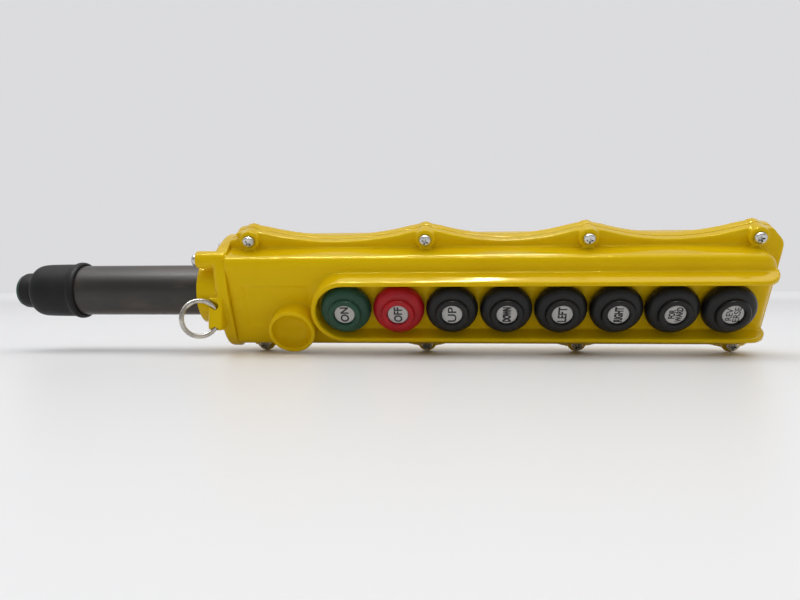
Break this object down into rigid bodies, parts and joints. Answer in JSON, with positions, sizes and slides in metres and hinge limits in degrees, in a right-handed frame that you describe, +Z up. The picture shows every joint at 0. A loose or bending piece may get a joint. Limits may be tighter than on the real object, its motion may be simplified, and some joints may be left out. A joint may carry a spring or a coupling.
{
  "type": "pendant control station",
  "caption": "Hand-held crane pendant control station: long yellow housing with scalloped flanges, a row of booted pushbuttons behind a guard rim, split ring and rubber cable sleeve.",
  "frame": {"origin": "on the surface the station lies on, under the middle of its bounding box", "axes": "+X along the housing away from the cable end; +Y away from the buttons' side; +Z up. The station lies tipped forward 29.2 degrees, on its four lower flange lobes and the rim of its accessory cup."},
  "size_m": [0.4452, 0.073, 0.0763],
  "materials": {
    "yellow_shell": "glossy moulded yellow with a light orange peel",
    "gasket_rubber": "matt black",
    "sleeve_rubber": "satin brown-black",
    "black_rubber": "matt black",
    "green_rubber": "satin dark green",
    "black_plastic": "moulded black",
    "nickel_steel": "nickel plate",
    "zinc_steel": "bright zinc plate",
    "spring_steel": "bright wire",
    "green_boot": "satin dark green",
    "red_boot": "satin red",
    "black_boot": "satin black",
    "green_cap": "satin green",
    "red_cap": "satin red",
    "black_cap": "satin black",
    "legend_plate": "printed off-white"
  },
  "bodies": {
    "station": {"front_cover": "yellow_shell", "rear_housing": "yellow_shell", "cover_gasket": "gasket_rubber", "end_gasket": "gasket_rubber", "end_cap": "yellow_shell", "cable_sleeve": "sleeve_rubber", "sleeve_boot": "black_rubber", "cable_bush": "green_rubber", "cable_clamp": "black_plastic", "cover_screw_upper_1": "zinc_steel", "cover_screw_lower_1": "zinc_steel", "cover_screw_upper_2": "zinc_steel", "cover_screw_lower_2": "zinc_steel", "cover_screw_upper_3": "zinc_steel", "cover_screw_lower_3": "zinc_steel", "cover_screw_upper_4": "zinc_steel", "cover_screw_lower_4": "zinc_steel", "end_screw_1": "zinc_steel", "end_screw_2": "zinc_steel", "end_screw_3": "zinc_steel", "clamp_screw_1": "zinc_steel", "clamp_screw_2": "zinc_steel", "contact_block_1": "black_plastic", "contact_block_2": "black_plastic", "contact_block_3": "black_plastic", "contact_block_4": "black_plastic", "boot_on": "green_boot", "boot_off": "red_boot", "boot_up": "black_boot", "boot_down": "black_boot", "boot_left": "black_boot", "boot_right": "black_boot", "boot_forward": "black_boot", "boot_reverse": "black_boot", "spring_on": "spring_steel", "spring_off": "spring_steel", "spring_up": "spring_steel", "spring_down": "spring_steel", "spring_left": "spring_steel", "spring_right": "spring_steel", "spring_forward": "spring_steel", "spring_reverse": "spring_steel"},
    "on_button": {"button_on": "green_cap", "legend_on": "legend_plate"},
    "off_button": {"button_off": "red_cap", "legend_off": "legend_plate"},
    "up_button": {"button_up": "black_cap", "legend_up": "legend_plate"},
    "down_button": {"button_down": "black_cap", "legend_down": "legend_plate"},
    "left_button": {"button_left": "black_cap", "legend_left": "legend_plate"},
    "right_button": {"button_right": "black_cap", "legend_right": "legend_plate"},
    "forward_button": {"button_forward": "black_cap", "legend_forward": "legend_plate"},
    "reverse_button": {"button_reverse": "black_cap", "legend_reverse": "legend_plate"},
    "ring": {"split_ring": "nickel_steel"}
  },
  "joints": [
    {"name": "on_press", "type": "slide", "parent": "station", "child": "on_button", "axis": [0, 0.8729, 0.4879], "range_m": [0, 0.004], "stiffness_N_per_m": 500, "springref_m": -0.004, "deforming": ["spring_on"]},
    {"name": "off_press", "type": "slide", "parent": "station", "child": "off_button", "axis": [0, 0.8729, 0.4879], "range_m": [0, 0.004], "stiffness_N_per_m": 500, "springref_m": -0.004, "deforming": ["spring_off"]},
    {"name": "up_press", "type": "slide", "parent": "station", "child": "up_button", "axis": [0, 0.8729, 0.4879], "range_m": [0, 0.004], "stiffness_N_per_m": 500, "springref_m": -0.004, "deforming": ["spring_up"]},
    {"name": "down_press", "type": "slide", "parent": "station", "child": "down_button", "axis": [0, 0.8729, 0.4879], "range_m": [0, 0.004], "stiffness_N_per_m": 500, "springref_m": -0.004, "deforming": ["spring_down"]},
    {"name": "left_press", "type": "slide", "parent": "station", "child": "left_button", "axis": [0, 0.8729, 0.4879], "range_m": [0, 0.004], "stiffness_N_per_m": 500, "springref_m": -0.004, "deforming": ["spring_left"]},
    {"name": "right_press", "type": "slide", "parent": "station", "child": "right_button", "axis": [0, 0.8729, 0.4879], "range_m": [0, 0.004], "stiffness_N_per_m": 500, "springref_m": -0.004, "deforming": ["spring_right"]},
    {"name": "forward_press", "type": "slide", "parent": "station", "child": "forward_button", "axis": [0, 0.8729, 0.4879], "range_m": [0, 0.004], "stiffness_N_per_m": 500, "springref_m": -0.004, "deforming": ["spring_forward"]},
    {"name": "reverse_press", "type": "slide", "parent": "station", "child": "reverse_button", "axis": [0, 0.8729, 0.4879], "range_m": [0, 0.004], "stiffness_N_per_m": 500, "springref_m": -0.004, "deforming": ["spring_reverse"]},
    {"name": "ring_swing", "type": "hinge", "parent": "station", "child": "ring", "pos_m": [-0.0935, -0.0207, 0.02108], "axis": [0, 0, 1], "range_deg": [-3, 45]}
  ]
}
